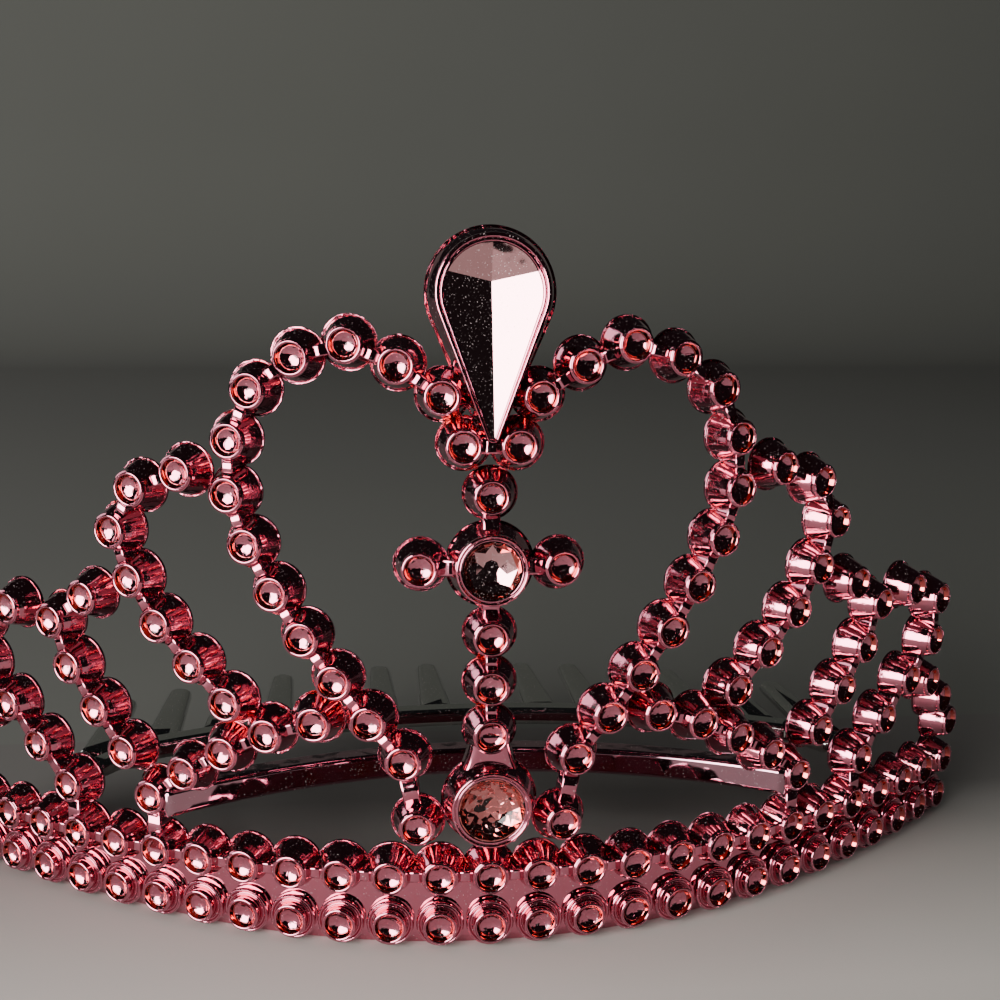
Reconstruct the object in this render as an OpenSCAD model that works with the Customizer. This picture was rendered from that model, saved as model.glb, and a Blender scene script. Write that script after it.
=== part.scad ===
// Mini crown headband: a pierced front of cupped studs on a curved base band, a rear bar and a hair comb.
// Millimetres, +Z up, the front towards -Y. The base band and nothing else stands on the ground.

/* [Crown] */
// Height from the ground to the top of the teardrop
crown_h = 62.4; // [58:0.2:70]
// Half of the width across the ends of the base band
half_width = 53; // [48:0.5:60]
// Height of the great arches above the lower row of studs
lattice_h = 50; // [46:0.5:54]

/* [Plan curve] */
// Radius of the front of the face, seen from above
front_radius = 57; // [50:1:66]
// Angle that the front radius turns through on each side of the middle
front_turn = 27; // [22:1:32]
// Radius of the flatter sides, seen from above
side_radius = 115; // [90:1:150]
// Backward lean of the face for each millimetre of height
lean = 0.065; // [0:0.005:0.12]
// Height above the lower row at which the face would be flat across
flare_h = 86; // [75:1:140]

/* [Studs] */
// Radius of a stud at its back, where its cone starts
barrel_r = 2.46; // [2.2:0.02:2.8]
// Depth of a stud from the rim of its cup to its back
stud_depth = 2.6; // [2.2:0.1:3.6]
// Height of the straight edge round a stud's back
stud_edge = 0.3; // [0.2:0.05:0.6]
// Radius of a stud's cup
cup_r = 1.56; // [1.3:0.02:1.8]
// Height of a cup's straight wall in front of the stud's cone
cup_h = 0.3; // [0.2:0.05:0.6]
// Width of the rounded lip round a cup's dish
lip_w = 0.36; // [0.2:0.02:0.5]
// Depth of the dish in a cup
dish_depth = 0.8; // [0.5:0.05:1.1]
// How far neighbouring studs run into each other at their backs
stud_lap = 0.5; // [0.2:0.05:0.8]
// Width of the rib between neighbouring studs
rib_w = 1; // [0.6:0.05:1.4]
// How far a rib lies behind the cups' rims
rib_drop = 0.35; // [0.2:0.05:0.6]
// Width of the short rods between studs that stand apart
rod_w = 1.5; // [1:0.1:2.2]
// Depth of those rods
rod_t = 1.7; // [1.2:0.1:1.8]
// How far a rod lies behind the cups' rims
rod_drop = 0.65; // [0.5:0.05:0.7]

/* [Base band] */
// Height of the lower row of studs above the ground
lower_row_z = 2.3; // [2.2:0.05:3]
// Distance from the lower row up to the upper row
row_rise = 4.5; // [4.2:0.1:5.4]
// Thickness of the band
band_t = 1.2; // [1:0.1:2]
// How far the band's face lies behind the cups' rims
band_setback = 1.5; // [1.1:0.1:1.8]
// Radius of the ring under a cup of the lower row
row_ring_r = 2.1; // [1.9:0.02:2.15]
// How far that ring lies behind the cup's rim
row_ring_drop = 0.85; // [0.6:0.05:1]
// Height of the bevel along the band's lower front edge
band_bevel_h = 1; // [0.4:0.1:1.4]
// Depth of that bevel
band_bevel_d = 0.5; // [0.2:0.05:0.7]

/* [Round settings] */
// Radius of the setting over the base band
base_setting_r = 4.2; // [3.8:0.1:4.6]
// Height of that setting above the lower row, as a share of the lattice
base_setting_share = 0.215; // [0.2:0.005:0.24]
// Radius of the setting at the middle of the cross
cross_setting_r = 3.85; // [3.5:0.05:4.2]
// Height of the cross above the lower row, as a share of the lattice
cross_share = 0.632; // [0.6:0.004:0.66]
// How far a setting's cone narrows from its back to its collar
collar_step = 0.75; // [0.5:0.05:0.9]
// How far a collar stands in front of the cups' rims
collar_rise = 0.45; // [0.2:0.05:0.8]
// Width of the rounded lip round a large stone
stone_lip_w = 0.55; // [0.4:0.05:0.7]
// Thickness of a large stone
stone_t = 2.1; // [2:0.05:2.3]
// Depth of the faceted hollow in the face of a round stone
stone_dish = 1.1; // [0.6:0.05:1.2]
// Number of sides of a round stone's hollow
stone_sides = 8; // [8:1:12]

/* [Teardrop] */
// Width across the teardrop setting
teardrop_w = 11.1; // [10:0.1:12]
// Radius at the tip of the setting
teardrop_tip_r = 0.9; // [0.7:0.05:1.2]
// How far the setting narrows from its back to its rim
teardrop_step = 0.75; // [0.5:0.05:0.9]
// Number of steps that the setting narrows in
teardrop_tiers = 4; // [2:1:5]
// Width of the rim round the teardrop stone
teardrop_lip_w = 0.7; // [0.5:0.05:0.9]
// Height of the two studs under the tip, as a share of the lattice
fork_share = 0.838; // [0.82:0.002:0.86]
// Height on the stone where the four facets meet, as a share of its length from the tip
crease_share = 0.8; // [0.7:0.01:0.88]
// Depth of the stone's hollow where they meet
teardrop_dish = 1.6; // [1:0.05:1.7]

/* [Rear bar and comb] */
// Distance from the front of the crown back to the middle of the bar
bar_y = 16; // [14:0.5:19]
// Radius of the bar, seen from above
bar_radius = 57; // [50:1:70]
// Depth of the bar, front to back
bar_d = 2.4; // [1.8:0.1:3]
// Height of the bar from its lower to its upper face
bar_t = 2.5; // [2:0.1:3]
// Height of the bar's lower face above the ground
bar_z = 10.3; // [9.6:0.1:11]
// Distance from the front of the crown back to the middle of the comb's spine
spine_y = 28; // [26:0.5:32]
// Radius of the spine, seen from above
spine_radius = 76; // [70:1:95]
// Depth of the spine, front to back
spine_d = 2.6; // [2:0.1:3.4]
// Thickness of the spine
spine_t = 1.8; // [1.4:0.1:2.4]
// Width of the arms that carry the spine
arm_w = 2.3; // [1.6:0.1:2.5]
// Thickness of the arms
arm_t = 1.6; // [1.2:0.1:1.7]
// Height of the spine's lower face above the ground
spine_z = 10.5; // [9.6:0.1:11]
// Half of the spine's width
spine_half_w = 33; // [30:0.5:36]
// Number of teeth
teeth = 14; // [8:2:16]
// Distance between neighbouring teeth
tooth_pitch = 5.56; // [4.8:0.02:6]
// Length of a tooth behind the spine
tooth_len = 19; // [12:0.5:24]
// Width of a tooth at its root
tooth_w = 3.7; // [2.6:0.1:4.2]
// Thickness of a tooth
tooth_t = 1.5; // [1.1:0.1:1.7]
// Radius of a tooth's tip
tooth_tip_r = 1.3; // [0.8:0.05:1.6]
// Slope of the teeth down towards their tips, in degrees
tooth_drop = 4; // [0:0.5:8]

/* [Hidden] */
$fn = 48;
arc_fn = 180;

// Clearance between pieces that meet, and overlap that makes touching shapes of one piece run together
joint_gap = 0.05;
melt = 0.2;
stone_sink = 0.15;
slot_w = 2 * joint_gap;
stud_pitch = 2 * barrel_r - stud_lap;
dish_r = cup_r - lip_w;
upper_row_z = lower_row_z + row_rise;

// The side arcs start where the front arc has turned through its angle, and share its tangent there
bend_x = front_radius * sin(front_turn);
side_cx = bend_x - side_radius * sin(front_turn);
side_cy = front_radius - front_radius * cos(front_turn) + side_radius * cos(front_turn);
bend_length = front_radius * front_turn * PI / 180;

// The middle cups' rims stand this far in front of the origin, which is the middle of the band's flat foot
front_y = -band_setback - (band_t + band_bevel_d) / 2;

// Heights along the middle of the face
base_setting_z = lower_row_z + base_setting_share * lattice_h;
cross_z = lower_row_z + cross_share * lattice_h;
fork_z = lower_row_z + fork_share * lattice_h;
fork_x = barrel_r - 0.1;
teardrop_z = crown_h - teardrop_w / 2;
teardrop_run = teardrop_z - fork_z - teardrop_tip_r;

// Keys of each arch, from its upper end to its foot: [share of the half width, share of the lattice height].
// Below the great arch, a row's first key is the stud of another piece that the arch springs from.
great_keys = [[0.079, 0.92], [0.228, 1.005], [0.379, 0.93], [0.419, 0.76], [0.355, 0.594], [0.257, 0.44],
              [0.143, 0.296]];
great_foot = [0.121, 0.18];
swag_keys = [[0.204, 0.368], [0.287, 0.36], [0.362, 0.336], [0.432, 0.298], [0.501, 0.252], [0.564, 0.193]];
second_keys = [[0.419, 0.76], [0.494, 0.786], [0.568, 0.76], [0.609, 0.676], [0.543, 0.52], [0.43, 0.386]];
third_keys = [[0.593, 0.591], [0.658, 0.558], [0.723, 0.508], [0.695, 0.416], [0.608, 0.272]];
fourth_keys = [[0.723, 0.508], [0.798, 0.52], [0.866, 0.492], [0.87, 0.4], [0.813, 0.318], [0.713, 0.184]];
end_keys = [[0.813, 0.318], [0.887, 0.298], [0.932, 0.236], [0.958, 0.184]];

// Distance back from the front of the face, and turn of a stud's axis, at a place x across
function plan_y(x) = let (a = abs(x)) a <= bend_x
    ? front_radius - sqrt(pow(front_radius, 2) - a * a)
    : side_cy - sqrt(pow(side_radius, 2) - pow(a - side_cx, 2));
function plan_turn(x) = let (a = abs(x)) sign(x) * (a <= bend_x
    ? asin(a / front_radius)
    : asin((a - side_cx) / side_radius));

// Place across at a length s along the plan curve from its middle
function turn_at(s) = s <= bend_length
    ? s / front_radius * 180 / PI
    : front_turn + (s - bend_length) / side_radius * 180 / PI;
function x_at(s) = s <= bend_length
    ? front_radius * sin(turn_at(s))
    : side_cx + side_radius * sin(turn_at(s));
end_turn = plan_turn(half_width);
band_length = bend_length + side_radius * (end_turn - front_turn) * PI / 180;

// The face leans back with height and opens out flatter
function on_face(x, z) =
    [x, front_y + lean * (z - lower_row_z) + plan_y(x) * (1 - (z - lower_row_z) / flare_h), z];
function place(key) = on_face(key[0] * half_width, lower_row_z + key[1] * lattice_h);

// Smooth curve through the keys, then studs at equal steps along it
function curve_point(a, b, c, d, t) = 0.5 * (2 * b + (c - a) * t + (2 * a - 5 * b + 4 * c - d) * t * t
    + (3 * b - a - 3 * c + d) * t * t * t);
function smooth(keys) = let (n = len(keys), steps = 12) [
    for (i = [0:n - 2], j = [0:steps - 1])
        place(curve_point(keys[max(i - 1, 0)], keys[i], keys[i + 1], keys[min(i + 2, n - 1)], j / steps)),
    place(keys[n - 1])];
function run_lengths(p) = [for (i = 0, s = 0; i < len(p); s = i < len(p) - 1 ? s + norm(p[i + 1] - p[i]) : s,
    i = i + 1) s];
function at_length(p, runs, s) = let (k = max([for (i = [0:len(p) - 2]) if (runs[i] <= s) i]))
    p[k] + (p[k + 1] - p[k]) * (s - runs[k]) / (runs[k + 1] - runs[k]);
function chain(keys) = let (p = smooth(keys), runs = run_lengths(p), total = runs[len(p) - 1],
    n = round(total / stud_pitch)) [for (i = [0:n]) on_face_again(at_length(p, runs, total * i / n))];
function on_face_again(p) = on_face(p[0], p[2]);
function tail(list) = [for (i = [1:len(list) - 1]) list[i]];
function last(list) = list[len(list) - 1];
function flip(points) = [for (p = points) [-p[0], p[1], p[2]]];

// Studs of another piece that come within reach of these points
function near(points, others) = [for (p = points)
    if (min([for (q = others) norm(p - q)]) < 2 * barrel_r + 1.5 * melt) p];

great = chain(great_keys);
great_end = place(great_foot);
swag = tail(chain(swag_keys));
second = tail(chain(second_keys));
third = tail(chain(third_keys));
fourth = tail(chain(fourth_keys));
end_run = tail(chain(end_keys));
fork = on_face(fork_x, fork_z);

// Rows of the band: as many studs as fit, at equal steps from the middle to the last one near the end
row_end = band_length - barrel_r;
row_n = round(row_end / stud_pitch);
function row(z) = [for (i = [-row_n:row_n]) let (s = row_end * i / row_n) on_face(sign(s) * x_at(abs(s)), z)];
upper_row = row(upper_row_z);
lower_row = row(lower_row_z);

// Studs stacked between two heights on the middle line
function stack(low, high) = let (n = max(1, round((high - low) / stud_pitch)), step = (high - low) / n)
    [for (i = [0:n - 1]) on_face(0, low + step * (i + 0.5))];
lower_stack = stack(base_setting_z + base_setting_r, cross_z - cross_setting_r);
upper_stack = stack(cross_z + cross_setting_r, fork_z - barrel_r * 0.8);
arm = on_face(cross_setting_r + barrel_r - melt, cross_z);
base_p = on_face(0, base_setting_z);
cross_p = on_face(0, cross_z);
arm_pair = concat([arm], flip([arm]));
fork_pair = concat([fork], flip([fork]));

// Every disc of the crown as [centre, radius], for finding what a disc meets
side_studs = concat(great, [great_end], swag, second, third, fourth, end_run);
stud_centres = concat(upper_row, lower_stack, upper_stack, arm_pair, fork_pair, side_studs, flip(side_studs));
discs = concat([for (p = stud_centres) [p, barrel_r]],
    [[base_p, base_setting_r], [cross_p, cross_setting_r]]);
function met(p, r) = [for (d = discs) let (gap = norm(d[0] - p))
    if (gap > barrel_r / 2 && gap < r + d[1] + joint_gap) d];

// Place between two discs, as a share of the way from the first, where their rims cross
function crossing(p, p_r, q, q_r) = let (gap = norm(q - p))
    (gap * gap + p_r * p_r - q_r * q_r) / (2 * gap * gap);

// Puts a shape drawn along +Z onto the face at p, its +Z pointing out of the face
module onto(p) {
    translate(p) rotate([90, 0, plan_turn(p[0])]) children();
}

// A spherical dish with its edge circle at height z
module dish(r, depth, z) {
    ball_r = (r * r + depth * depth) / (2 * depth);
    translate([0, 0, z - depth + ball_r]) sphere(r = ball_r);
}

// A cup on a turned foot, whose profile runs from the middle of its back to the cup's wall. Its rim is at 0.
module cupped(foot) {
    difference() {
        rotate_extrude() polygon(concat(foot, [[cup_r, -lip_w / 2], [cup_r - lip_w / 3, 0], [0, 0]]));
        dish(dish_r, dish_depth, 0);
    }
}

// Sets a shape between p and q at a share of the way: its +X points from p to q and its +Z out of the face
module between(p, q, share) {
    turn = plan_turn((p[0] + q[0]) / 2);
    along = (q - p) * [cos(turn), sin(turn), 0];
    translate(p + (q - p) * share) rotate([90, 0, turn]) rotate([0, 0, atan2(q[2] - p[2], along)]) children();
}

// Cuts a disc flat where it faces each disc that it meets, half a slot short of where the rims cross
module faced(p, r) {
    reach = 3 * r;
    difference() {
        children();
        for (d = met(p, r)) between(p, d[0], crossing(p, r, d[0], d[1]))
            translate([-slot_w / 2, -reach / 2, -2 * stud_depth]) cube([reach, reach, 4 * stud_depth]);
    }
}

// A stud is a cone with a cup in front and a straight edge round its back
module stud(p) {
    back = -stud_depth;
    faced(p, barrel_r) onto(p)
        cupped([[0, back], [barrel_r, back], [barrel_r, back + stud_edge], [cup_r, -cup_h]]);
}

// A bar between p and q that stops short of both, this wide, and from one height to another out of the face
module bar(p, q, short, width, low, high) {
    length = norm(q - p) - 2 * short;
    between(p, q, 0.5) translate([-length / 2, -width / 2, low]) cube([length, width, high - low]);
}

// A rib that ties two neighbouring studs of one piece, from their cups down to their backs
module rib(p, q) {
    bar(p, q, cup_r - lip_w / 2, rib_w, melt - stud_depth, -rib_drop);
}

// A short rod between the studs at p and q
module rod(p, q) {
    bar(p, q, dish_r, rod_w, -rod_drop - rod_t, -rod_drop);
}

module strand(points) {
    for (p = points) stud(p);
    for (i = [1:len(points) - 1]) rib(points[i - 1], points[i]);
}

// Room for the barrels of neighbouring pieces
module room(points) {
    for (p = points) onto(p) translate([0, 0, -stud_depth - joint_gap])
        cylinder(r = barrel_r + joint_gap, h = 2 * stud_depth);
}

// Turns a profile about an upright axis between two angles from the -Y direction, seen from above
module swept(centre, from, to) {
    translate([centre[0], front_y + centre[1], 0]) rotate([0, 0, from - 90])
        rotate_extrude(angle = to - from, $fn = arc_fn) children();
}

// The band is three arcs that share tangents: one in front and one on each side
module band_strip() {
    swept([0, front_radius], -front_turn, front_turn) band_profile(front_radius);
    swept([side_cx, side_cy], front_turn, end_turn) band_profile(side_radius);
    swept([-side_cx, side_cy], -end_turn, -front_turn) band_profile(side_radius);
}

// The band's wall with a bevel along its lower front edge
module band_profile(radius) {
    face = radius - band_setback;
    back = face - band_t;
    top = upper_row_z - melt;
    polygon([[back, 0], [face - band_bevel_d, 0], [face, band_bevel_h], [face, top], [back, top]]);
}

// The cups of the lower row stand on rings that start inside the band's wall
module base_band() {
    back = -band_setback - band_t / 2;
    color("#C2708A") {
        band_strip();
        strand(upper_row);
        for (p = lower_row) onto(p)
            cupped([[0, back], [row_ring_r, back], [row_ring_r, -row_ring_drop], [cup_r, -row_ring_drop]]);
    }
}

// A round setting is a cone with a collar in front and a straight edge round its back
module setting(p, wall_r) {
    back = -stud_depth;
    collar_r = wall_r - collar_step;
    faced(p, wall_r) onto(p) rotate_extrude() polygon([[0, back], [wall_r, back], [wall_r, back + stud_edge],
        [collar_r, 0], [collar_r, collar_rise - lip_w / 2], [collar_r - lip_w / 2, collar_rise],
        [0, collar_rise]]);
}

// A swept skirt from a round setting up to a stud above it
module skirt(low, low_r, high, high_r) {
    run = high[2] - low[2];
    sweep = asin((low_r - high_r) / run);
    onto(low) translate([0, 0, -stud_depth]) linear_extrude(stud_depth - rod_drop - 2 * melt)
        polygon([[low_r * cos(sweep), low_r * sin(sweep)], [high_r * cos(sweep), run + high_r * sin(sweep)],
            [-high_r * cos(sweep), run + high_r * sin(sweep)], [-low_r * cos(sweep), low_r * sin(sweep)]]);
}

// Room for a round stone in its setting, a gap wider and deeper than the stone
module stone_seat(p, wall_r) {
    onto(p) translate([0, 0, collar_rise - stone_t - joint_gap])
        cylinder(r = wall_r - collar_step - stone_lip_w, h = 2 * stone_t);
}

module centre_column() {
    color("#B4586E") difference() {
        union() {
            setting(base_p, base_setting_r);
            skirt(base_p, base_setting_r, lower_stack[0], barrel_r * 0.7);
            strand(lower_stack);
            setting(cross_p, cross_setting_r);
            for (p = upper_stack) stud(p);
            for (p = concat([last(lower_stack), upper_stack[0]], arm_pair)) rod(p, cross_p);
            for (p = arm_pair) stud(p);
        }
        stone_seat(base_p, base_setting_r);
        stone_seat(cross_p, cross_setting_r);
    }
}

// A round stone whose face is a hollow of flat facets in two tiers round a flat table
module round_stone(p, wall_r) {
    stone_r = wall_r - collar_step - stone_lip_w - joint_gap;
    tiers = [[1.04, -0.06], [0.6, 0.62], [0.3, 1]];
    points = [for (k = [0:2], i = [0:stone_sides - 1])
        let (a = (i + (k == 1 ? 0.5 : 0)) * 360 / stone_sides)
        [stone_r * tiers[k][0] * cos(a), stone_r * tiers[k][0] * sin(a), -stone_dish * tiers[k][1]]];
    n = stone_sides;
    onto(p) difference() {
        translate([0, 0, collar_rise - stone_t]) cylinder(r = stone_r, h = stone_t - stone_sink);
        translate([0, 0, collar_rise - stone_sink]) polyhedron(points, concat(
            [[for (i = [0:n - 1]) n - 1 - i]],
            [[for (i = [0:n - 1]) 2 * n + i]],
            [for (i = [0:n - 1]) [i, (i + 1) % n, n + i]],
            [for (i = [0:n - 1]) [(i + 1) % n, n + (i + 1) % n, n + i]],
            [for (i = [0:n - 1]) [n + i, n + (i + 1) % n, 2 * n + (i + 1) % n]],
            [for (i = [0:n - 1]) [2 * n + i, n + i, 2 * n + (i + 1) % n]]));
    }
}

module cross_stone() {
    color("#8E3A50") round_stone(cross_p, cross_setting_r);
}

module base_stone() {
    color("#8E3A50") round_stone(base_p, base_setting_r);
}

// A slice of the drop: a round head and a small round tip joined by a wedge that starts a hair inside them
module drop_layer(inset, low, high) {
    head_r = teardrop_w / 2 - inset;
    tip_r = max(teardrop_tip_r - inset * 0.5, 0.1);
    slope = asin((head_r - tip_r) / teardrop_run);
    side = 0.996 * [cos(slope), -sin(slope)];
    head = head_r * side;
    tip = [0, -teardrop_run] + tip_r * side;
    translate([0, 0, low]) {
        cylinder(r = head_r, h = high - low);
        translate([0, -teardrop_run, 0]) cylinder(r = tip_r, h = high - low);
        linear_extrude(high - low) polygon([head, tip, [-tip[0], tip[1]], [-head[0], head[1]]]);
    }
}

// Sets a shape drawn on the XY plane on the teardrop's face, which leans with the face of the crown
module on_teardrop() {
    translate(on_face(0, teardrop_z)) rotate([90 - atan(lean), 0, 0]) children();
}

// The teardrop setting narrows towards its rim in tiers
module teardrop_setting() {
    tier_h = (stud_depth + collar_rise) / teardrop_tiers;
    tier_step = teardrop_step / (teardrop_tiers - 1);
    color("#A34A62") difference() {
        union() {
            on_teardrop() for (i = [1:teardrop_tiers])
                drop_layer(tier_step * (i - 1), -stud_depth, -stud_depth + i * tier_h);
            for (p = fork_pair) stud(p);
            rod(fork_pair[0], fork_pair[1]);
        }
        on_teardrop() drop_layer(teardrop_step + teardrop_lip_w, collar_rise - stone_t - joint_gap, stone_t);
    }
}

// The stone's face is a hollow of four flat facets that meet at its deepest point, low near the tip
module teardrop_stone() {
    head = teardrop_w / 2 - teardrop_step - teardrop_lip_w;
    crease_y = -teardrop_run + crease_share * (teardrop_run + head);
    side = 1.35 * head;
    side_y = crease_y + 0.3 * head;
    rim = collar_rise - stone_sink;
    color("#8E3A50") on_teardrop() difference() {
        drop_layer(teardrop_step + teardrop_lip_w + joint_gap, collar_rise - stone_t, rim);
        translate([0, 0, rim]) polyhedron(
            [[0, crease_y + 1.3 * head, melt / 2], [-side, side_y, melt / 2], [0, -teardrop_run - 1, melt / 2],
                [side, side_y, melt / 2], [0, crease_y, -teardrop_dish]],
            [[3, 2, 1, 0], [0, 1, 4], [1, 2, 4], [2, 3, 4], [3, 0, 4]]);
    }
}

// One side's arches are drawn on the right and mirrored for the left
module sided(left) {
    color(left ? "#D58AA0" : "#A8506A") mirror([left ? 1 : 0, 0, 0]) children();
}

module great_arch(left) {
    sided(left) difference() {
        union() {
            strand(great);
            stud(great_end);
            rod(last(great), great_end);
        }
        on_teardrop() drop_layer(-joint_gap, -2 * stud_depth, stud_depth);
    }
}

module swag_arch(left) {
    sided(left) {
        strand(swag);
        foot_rod(last(swag));
    }
}

// A rod from an arch's last stud down to the top of the band, kept clear of the studs of the upper row
module foot_rod(foot) {
    end = on_face(foot[0], upper_row_z - dish_r);
    difference() {
        rod(foot, end);
        room(near(upper_row, [on_face(foot[0], upper_row_z)]));
        translate([end[0] - stud_depth, end[1] - stud_depth, 0])
            cube([2 * stud_depth, 3 * stud_depth, upper_row_z + joint_gap]);
    }
}

module second_arch(left) {
    sided(left) strand(second);
}

module third_arch(left) {
    sided(left) strand(third);
}

module fourth_arch(left) {
    sided(left) {
        strand(fourth);
        foot_rod(last(fourth));
    }
}

module end_arch(left) {
    sided(left) strand(end_run);
}

// Half of the angle that an arc of this radius turns through to reach half the given width
function half_angle(half_w, radius) = asin(half_w / radius);

// The bar bows backwards and its ends run into the feet of the swags
module rear_bar() {
    foot = last(swag);
    reach = half_angle(foot[0] - barrel_r / 2, bar_radius);
    color("#A06F80") difference() {
        swept([0, bar_y - bar_radius], 180 - reach, 180 + reach)
            translate([bar_radius - bar_d / 2, bar_z]) square([bar_d, bar_t]);
        for (side = [swag, flip(swag)]) room(near(side, side));
    }
}

// The comb: a bowed spine, an arm at each end to the foot of the fourth arch, and a row of parallel teeth
module comb() {
    reach = half_angle(spine_half_w, spine_radius);
    end_y = front_y + spine_y - spine_radius * (1 - cos(reach));
    foot = last(fourth);
    color("#9A9C98") difference() {
        union() {
            swept([0, spine_y - spine_radius], 180 - reach, 180 + reach)
                translate([spine_radius - spine_d / 2, spine_z]) square([spine_d, spine_t]);
            for (side = [-1, 1]) comb_arm([side * spine_half_w, end_y], [side * foot[0], foot[1]]);
            for (i = [0:teeth - 1]) tooth((i - (teeth - 1) / 2) * tooth_pitch);
        }
        for (side = [fourth, flip(fourth)]) room(near(side, side));
        for (side = [third, flip(third)]) room(near(side, side));
    }
}

module comb_arm(from, to) {
    run = to - from;
    translate([from[0], from[1], spine_z + spine_t / 2]) rotate([0, 0, atan2(run[1], run[0])]) {
        translate([0, -arm_w / 2, -arm_t / 2]) cube([norm(run), arm_w, arm_t]);
        cylinder(r = spine_d / 2 + melt / 2, h = spine_t + melt / 2, center = true);
    }
}

module tooth(x) {
    root_y = front_y + spine_y - spine_radius + sqrt(pow(spine_radius, 2) - x * x);
    run = tooth_len - tooth_tip_r;
    end = tooth_tip_r - melt / 10;
    translate([x, root_y, spine_z + (spine_t - tooth_t) / 2]) rotate([-tooth_drop, 0, 0]) {
        linear_extrude(tooth_t) polygon([[-tooth_w / 2, 0], [tooth_w / 2, 0], [end, run], [-end, run]]);
        translate([0, run, 0]) cylinder(r = tooth_tip_r, h = tooth_t);
    }
}

base_band();
centre_column();
teardrop_setting();
teardrop_stone();
cross_stone();
base_stone();
great_arch(true);  // great_arch_left
great_arch(false);  // great_arch_right
swag_arch(true);  // swag_left
swag_arch(false);  // swag_right
second_arch(true);  // second_arch_left
second_arch(false);  // second_arch_right
third_arch(true);  // third_arch_left
third_arch(false);  // third_arch_right
fourth_arch(true);  // fourth_arch_left
fourth_arch(false);  // fourth_arch_right
end_arch(true);  // end_arch_left
end_arch(false);  // end_arch_right
rear_bar();
comb();
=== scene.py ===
import bpy
import numpy as np
from bpy.props import FloatProperty, FloatVectorProperty, IntProperty, PointerProperty
from mathutils import Matrix, Vector


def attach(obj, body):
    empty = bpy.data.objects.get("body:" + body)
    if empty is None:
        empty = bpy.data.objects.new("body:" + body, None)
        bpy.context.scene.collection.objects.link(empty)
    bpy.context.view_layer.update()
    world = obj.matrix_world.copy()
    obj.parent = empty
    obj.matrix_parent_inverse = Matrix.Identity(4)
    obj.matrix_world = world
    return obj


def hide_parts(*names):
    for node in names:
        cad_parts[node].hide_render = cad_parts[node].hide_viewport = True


bl_info = {
    "name": "Mini Crown Headband",
    "version": (1, 0, 0),
    "blender": (4, 5, 0),
    "location": "3D View > Sidebar > Crown",
    "description": "Builds the dressed pieces of a metallised party crown round its packed model",
    "category": "Add Mesh",
}

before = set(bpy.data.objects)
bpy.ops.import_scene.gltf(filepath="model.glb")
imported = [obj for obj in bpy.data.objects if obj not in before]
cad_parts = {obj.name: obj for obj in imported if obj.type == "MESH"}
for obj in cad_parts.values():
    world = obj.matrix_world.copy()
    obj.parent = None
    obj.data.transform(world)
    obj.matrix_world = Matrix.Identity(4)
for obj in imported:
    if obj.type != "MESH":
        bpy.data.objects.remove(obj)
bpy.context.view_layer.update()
MM = 0.001
UP = np.array([0.0, 0.0, 1.0])
MIRROR = np.array([-1, 1, 1])
# Width of the steep wall between a cup's lip and its bowl
BOWL_STEP = 0.2 * MM
# How far the finish's pattern moves on for each metre between studs or teeth, and in metres for the left side
STUD_SPREAD, TOOTH_SPREAD, LEFT_SHIFT = 7.3, 11, 0.05

# Keys of each arch from its upper end to its foot: share of the half width, share of the lattice height.
# Below the great arch, a row's first key is the stud of another piece that the arch springs from.
ARCH_KEYS = {
    "great": [(0.079, 0.92), (0.228, 1.005), (0.379, 0.93), (0.419, 0.76), (0.355, 0.594), (0.257, 0.44),
              (0.143, 0.296)],
    "swag": [(0.204, 0.368), (0.287, 0.36), (0.362, 0.336), (0.432, 0.298), (0.501, 0.252), (0.564, 0.193)],
    "second": [(0.419, 0.76), (0.494, 0.786), (0.568, 0.76), (0.609, 0.676), (0.543, 0.52), (0.43, 0.386)],
    "third": [(0.593, 0.591), (0.658, 0.558), (0.723, 0.508), (0.695, 0.416), (0.608, 0.272)],
    "fourth": [(0.723, 0.508), (0.798, 0.52), (0.866, 0.492), (0.87, 0.4), (0.813, 0.318), (0.713, 0.184)],
    "end": [(0.813, 0.318), (0.887, 0.298), (0.932, 0.236), (0.958, 0.184)],
}
GREAT_FOOT = (0.121, 0.18)


def length(name, millimetres, about):
    """A length property whose default is given in millimetres."""
    return FloatProperty(name=name, description=about, default=millimetres * MM, subtype="DISTANCE",
                         unit="LENGTH")


def share(name, value, about):
    """A plain share of another size."""
    return FloatProperty(name=name, description=about, default=value, subtype="FACTOR")


def degrees(name, value, about):
    """An angle property whose default is given in degrees."""
    return FloatProperty(name=name, description=about, default=np.radians(value), subtype="ANGLE",
                         unit="ROTATION")


def linear(hex_colour):
    """sRGB hex to linear red, green and blue: the standard transfer curve, undone channel by channel."""
    srgb = np.array([int(hex_colour[i:i + 2], 16) / 255 for i in (1, 3, 5)])
    return tuple(np.where(srgb <= 0.04045, srgb / 12.92, ((srgb + 0.055) / 1.055) ** 2.4))


def colour(name, hex_colour, about):
    """A colour property whose default is given as sRGB hex."""
    return FloatVectorProperty(name=name, description=about, default=linear(hex_colour), size=3,
                               subtype="COLOR")


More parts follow.
